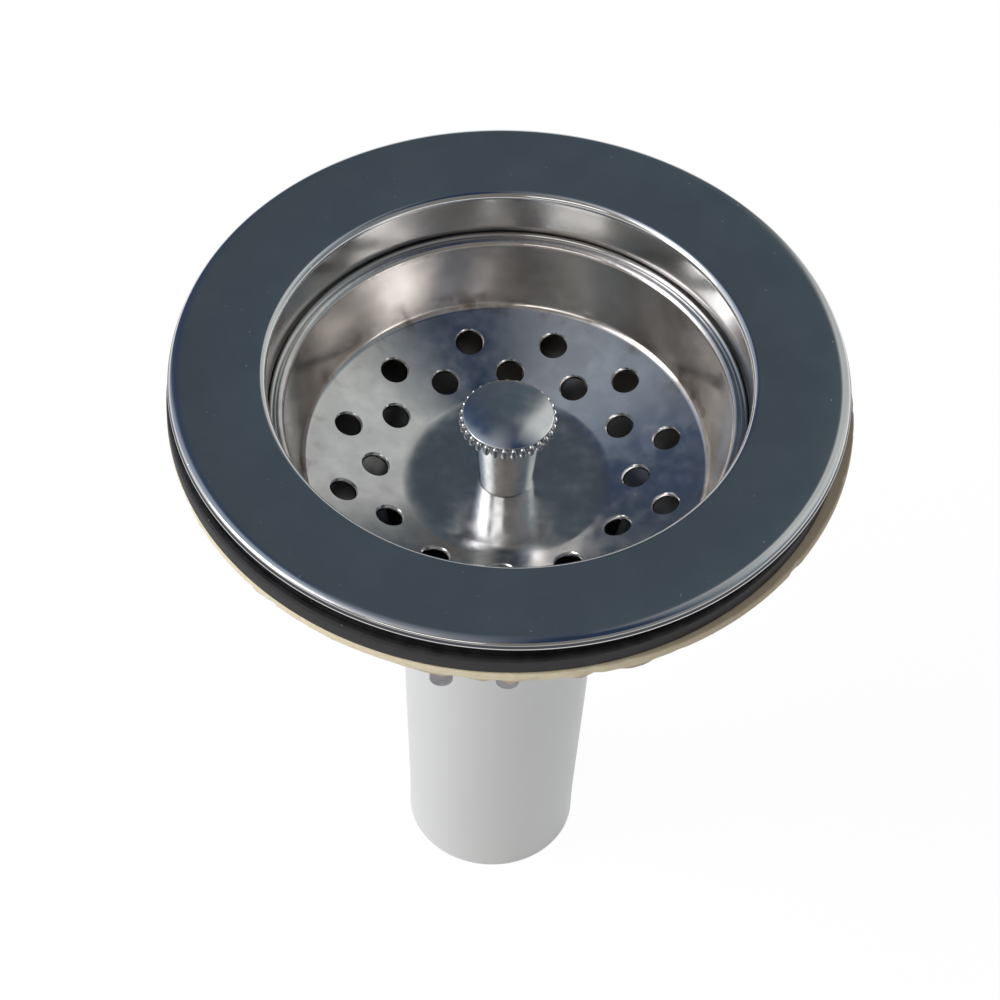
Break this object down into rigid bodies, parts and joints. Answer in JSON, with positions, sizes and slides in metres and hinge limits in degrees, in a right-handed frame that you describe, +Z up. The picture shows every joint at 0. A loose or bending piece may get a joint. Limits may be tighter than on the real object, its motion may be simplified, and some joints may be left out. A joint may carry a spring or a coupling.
{
  "type": "sink basket strainer",
  "caption": "Kitchen sink basket strainer: a wide polished flange and bowl clamped by rubber and fibre rings and a lock nut, with a lift-out perforated basket and a white tailpiece.",
  "frame": {"origin": "centre of the tailpiece's open lower end, on the surface that the fitting stands on", "axes": "+Z up along the axis of the drain; -Y is the side that the picture is taken from"},
  "size_m": [0.116, 0.116, 0.1217],
  "materials": {
    "polished_steel": "mirror-polished pressed stainless steel with faint water marks",
    "plain_steel": "plain machined and pressed steel",
    "black_rubber": "matt moulded black rubber",
    "fibre": "rough-cut cream pressed fibre",
    "cast_metal": "dull grey die casting",
    "white_plastic": "smooth satin white moulded plastic"
  },
  "bodies": {
    "strainer_body": {"body_shell": "polished_steel", "outlet_spud": "plain_steel", "outlet_crossbar": "plain_steel", "upper_gasket": "black_rubber"},
    "clamp_rings": {"lower_gasket": "black_rubber", "fibre_washer": "fibre"},
    "lock_nut": {"lock_nut": "cast_metal"},
    "tail": {"tailpiece": "white_plastic", "tail_washer": "black_rubber"},
    "coupling_nut": {"coupling_nut": "white_plastic"},
    "basket": {"basket_cup": "polished_steel", "knob": "polished_steel", "stem": "plain_steel", "stopper_seal": "black_rubber", "backing_plate": "plain_steel", "lock_washer": "plain_steel", "stem_nut": "plain_steel", "detent_clip": "plain_steel"}
  },
  "joints": [
    {"name": "basket_lift", "type": "slide", "parent": "strainer_body", "child": "basket", "axis": [0, 0, 1], "range_m": [0, 0.06]},
    {"name": "clamp_travel", "type": "slide", "parent": "strainer_body", "child": "clamp_rings", "axis": [0, 0, -1], "range_m": [0, 0.007]},
    {"name": "lock_nut_turn", "type": "hinge", "parent": "clamp_rings", "child": "lock_nut", "pos_m": [0, 0, 0.1097], "axis": [0, 0, -1], "range_deg": [0, 1008]},
    {"name": "tail_drop", "type": "slide", "parent": "strainer_body", "child": "tail", "axis": [0, 0, -1], "range_m": [0, 0.00575]},
    {"name": "coupling_nut_turn", "type": "hinge", "parent": "tail", "child": "coupling_nut", "pos_m": [0, 0, 0.0797], "axis": [0, 0, -1], "range_deg": [0, 900]}
  ],
  "couplings": [
    {"joint": "clamp_travel", "follows": "lock_nut_turn", "m_per_rad": 0.00039789},
    {"joint": "tail_drop", "follows": "coupling_nut_turn", "m_per_rad": 0.00036606}
  ]
}
